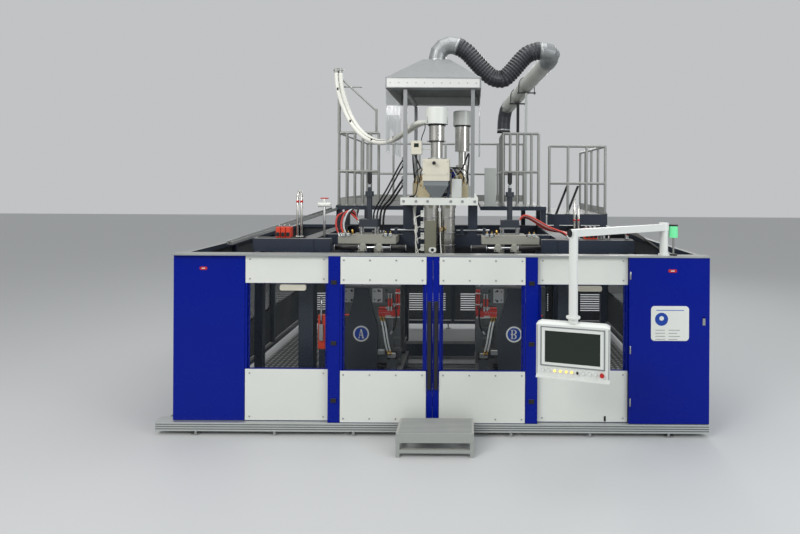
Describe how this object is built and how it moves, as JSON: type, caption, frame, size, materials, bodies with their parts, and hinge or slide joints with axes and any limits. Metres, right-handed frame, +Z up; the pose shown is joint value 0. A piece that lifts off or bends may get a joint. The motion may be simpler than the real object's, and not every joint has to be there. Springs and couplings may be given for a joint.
{
  "type": "double station extrusion blow moulding machine",
  "caption": "Blow moulding machine with sliding guard doors, shuttling mould carriages, a twin die head, an extruder deck with handrails, a fume hood with a duct, and a panel on a swing arm.",
  "frame": {"origin": "on the floor, under the middle of the bounding box; X = 0 is the line where the doors meet", "axes": "+X to the operator's right as they face the machine, +Y from the operator's side to the rear, +Z up"},
  "size_m": [6.339, 5.6994, 5.0222],
  "materials": {
    "aluminium_profile": "anodised extrusion",
    "zinc_steel": "zinc plated",
    "slate_paint": "semi-gloss dark slate paint",
    "white_paint": "warm light grey powder coat",
    "clear_pane": "clear polycarbonate",
    "blue_paint": "royal blue powder coat",
    "black_plastic": "black plastic",
    "machined_steel": "machined and darkened steel",
    "mould_aluminium": "milled aluminium",
    "cast_grey": "grey painted casting",
    "polished_steel": "ground rod",
    "brass_tool": "machined brass",
    "lagging": "insulation jackets",
    "cream_paint": "cream paint",
    "stainless": "brushed stainless",
    "galvanised": "galvanised sheet",
    "duct_fabric": "corrugated foil and fabric",
    "clear_pvc": "clear soft PVC",
    "grey_paint": "light grey paint",
    "white_hose": "white suction hose",
    "red_plastic": "red plastic",
    "lit_yellow": "lit yellow lens",
    "green_lens": "green lens",
    "green_belt": "green belt"
  },
  "bodies": {
    "machine": {"front_sill": "aluminium_profile", "levelling_feet": "zinc_steel", "guard_frame": "slate_paint", "fixed_panels": "white_paint", "fixed_windows": "clear_pane", "enclosure_panels": "white_paint", "machine_frame": "slate_paint", "blow_units": "cast_grey", "die_head": "machined_steel", "extruder_bed": "white_paint", "extruder_barrel": "lagging", "extruder_drive": "blue_paint", "hopper": "cream_paint", "loaders": "stainless", "hood": "galvanised", "hood_legs": "galvanised", "fume_ducts": "galvanised", "flexible_duct": "duct_fabric", "curtain": "clear_pvc", "platform": "slate_paint", "handrails": "grey_paint", "suction_hose_left": "white_hose", "suction_hose_right": "white_hose", "hmi_post": "grey_paint", "signal_lamp": "green_lens", "front_step": "white_paint", "flash_belt": "green_belt"},
    "door_a": {"door_a": "blue_paint", "door_a_window": "clear_pane", "door_a_handle": "black_plastic"},
    "door_b": {"door_b": "blue_paint", "door_b_window": "clear_pane", "door_b_handle": "black_plastic"},
    "cabinet_door": {"cabinet_door": "blue_paint"},
    "cabinet_latch": {"cabinet_latch": "zinc_steel"},
    "carriage_a": {"carriage_a": "slate_paint"},
    "press_front_a": {"front_platen_a": "machined_steel", "mould_front_a": "mould_aluminium", "clamp_yoke_a": "slate_paint"},
    "press_rear_a": {"rear_platen_a": "machined_steel", "mould_rear_a": "mould_aluminium"},
    "carriage_b": {"carriage_b": "slate_paint"},
    "press_front_b": {"front_platen_b": "machined_steel", "mould_front_b": "mould_aluminium", "clamp_yoke_b": "slate_paint"},
    "press_rear_b": {"rear_platen_b": "machined_steel", "mould_rear_b": "mould_aluminium"},
    "blow_pins_a": {"blow_pins_a": "polished_steel"},
    "blow_pins_b": {"blow_pins_b": "polished_steel"},
    "die_mandrels": {"die_mandrels": "brass_tool"},
    "extruder_screw": {"extruder_screw": "polished_steel"},
    "hmi_arm": {"hmi_arm": "grey_paint"},
    "hmi_panel": {"hmi_panel": "grey_paint"},
    "emergency_stop": {"emergency_stop": "red_plastic"},
    "selector_switch": {"selector_switch": "black_plastic"},
    "push_button_1": {"push_button_1": "lit_yellow"},
    "push_button_2": {"push_button_2": "lit_yellow"},
    "push_button_3": {"push_button_3": "lit_yellow"},
    "push_button_4": {"push_button_4": "lit_yellow"},
    "belt_roller": {"belt_roller": "zinc_steel"}
  },
  "joints": [
    {"name": "door_a_slide", "type": "slide", "parent": "machine", "child": "door_a", "axis": [-1, 0, 0], "range_m": [0, 0.98]},
    {"name": "door_b_slide", "type": "slide", "parent": "machine", "child": "door_b", "axis": [1, 0, 0], "range_m": [0, 0.98]},
    {"name": "cabinet_door_hinge", "type": "hinge", "parent": "machine", "child": "cabinet_door", "pos_m": [3.1695, -1.93828, 1.1], "axis": [0, 0, 1], "range_deg": [0, 110]},
    {"name": "cabinet_latch_turn", "type": "hinge", "parent": "cabinet_door", "child": "cabinet_latch", "pos_m": [3.1035, -1.92728, 1.361], "axis": [-1, 0, 0], "range_deg": [0, 35], "stiffness_Nm_per_rad": 0.3},
    {"name": "carriage_a_shuttle", "type": "slide", "parent": "machine", "child": "carriage_a", "axis": [1, 0, 0], "range_m": [0, 0.92]},
    {"name": "press_front_a_open", "type": "slide", "parent": "carriage_a", "child": "press_front_a", "axis": [0, -1, 0], "range_m": [0, 0.2]},
    {"name": "press_rear_a_open", "type": "slide", "parent": "carriage_a", "child": "press_rear_a", "axis": [0, 1, 0], "range_m": [0, 0.2]},
    {"name": "carriage_b_shuttle", "type": "slide", "parent": "machine", "child": "carriage_b", "axis": [1, 0, 0], "range_m": [-0.92, 0]},
    {"name": "press_front_b_open", "type": "slide", "parent": "carriage_b", "child": "press_front_b", "axis": [0, -1, 0], "range_m": [0, 0.2]},
    {"name": "press_rear_b_open", "type": "slide", "parent": "carriage_b", "child": "press_rear_b", "axis": [0, 1, 0], "range_m": [0, 0.2]},
    {"name": "blow_pins_a_stroke", "type": "slide", "parent": "machine", "child": "blow_pins_a", "axis": [0, 0, -1], "range_m": [0, 0.07]},
    {"name": "blow_pins_b_stroke", "type": "slide", "parent": "machine", "child": "blow_pins_b", "axis": [0, 0, -1], "range_m": [0, 0.07]},
    {"name": "die_gap_stroke", "type": "slide", "parent": "machine", "child": "die_mandrels", "axis": [0, 0, -1], "range_m": [0, 0.015]},
    {"name": "extruder_screw_spin", "type": "hinge", "parent": "machine", "child": "extruder_screw", "pos_m": [0.02, 0.19972, 2.876], "axis": [0, 1, 0], "continuous": true},
    {"name": "hmi_arm_swing", "type": "hinge", "parent": "machine", "child": "hmi_arm", "pos_m": [2.665, -1.86528, 2.4], "axis": [0, 0, 1], "range_deg": [-10, 75]},
    {"name": "hmi_panel_turn", "type": "hinge", "parent": "hmi_arm", "child": "hmi_panel", "pos_m": [1.471, -2.67028, 1.5], "axis": [0, 0, 1], "range_deg": [-45, 45]},
    {"name": "emergency_stop_press", "type": "slide", "parent": "hmi_panel", "child": "emergency_stop", "axis": [0.2756, 0.9613, 0], "range_m": [0, 0.005]},
    {"name": "selector_switch_turn", "type": "hinge", "parent": "hmi_panel", "child": "selector_switch", "pos_m": [1.50252, -2.74174, 1.007], "axis": [0.2756, 0.9613, 0], "range_deg": [-45, 45]},
    {"name": "push_button_1_press", "type": "slide", "parent": "hmi_panel", "child": "push_button_1", "axis": [0.2756, 0.9613, 0], "range_m": [0, 0.005], "stiffness_N_per_m": 400},
    {"name": "push_button_2_press", "type": "slide", "parent": "hmi_panel", "child": "push_button_2", "axis": [0.2756, 0.9613, 0], "range_m": [0, 0.005], "stiffness_N_per_m": 400},
    {"name": "push_button_3_press", "type": "slide", "parent": "hmi_panel", "child": "push_button_3", "axis": [0.2756, 0.9613, 0], "range_m": [0, 0.005], "stiffness_N_per_m": 400},
    {"name": "push_button_4_press", "type": "slide", "parent": "hmi_panel", "child": "push_button_4", "axis": [0.2756, 0.9613, 0], "range_m": [0, 0.005], "stiffness_N_per_m": 400},
    {"name": "belt_roller_spin", "type": "hinge", "parent": "machine", "child": "belt_roller", "pos_m": [3.08, -1.63728, 0.1], "axis": [0, 1, 0], "continuous": true}
  ],
  "couplings": [
    {"joint": "press_rear_a_open", "follows": "press_front_a_open", "ratio": 1},
    {"joint": "press_rear_b_open", "follows": "press_front_b_open", "ratio": 1}
  ]
}
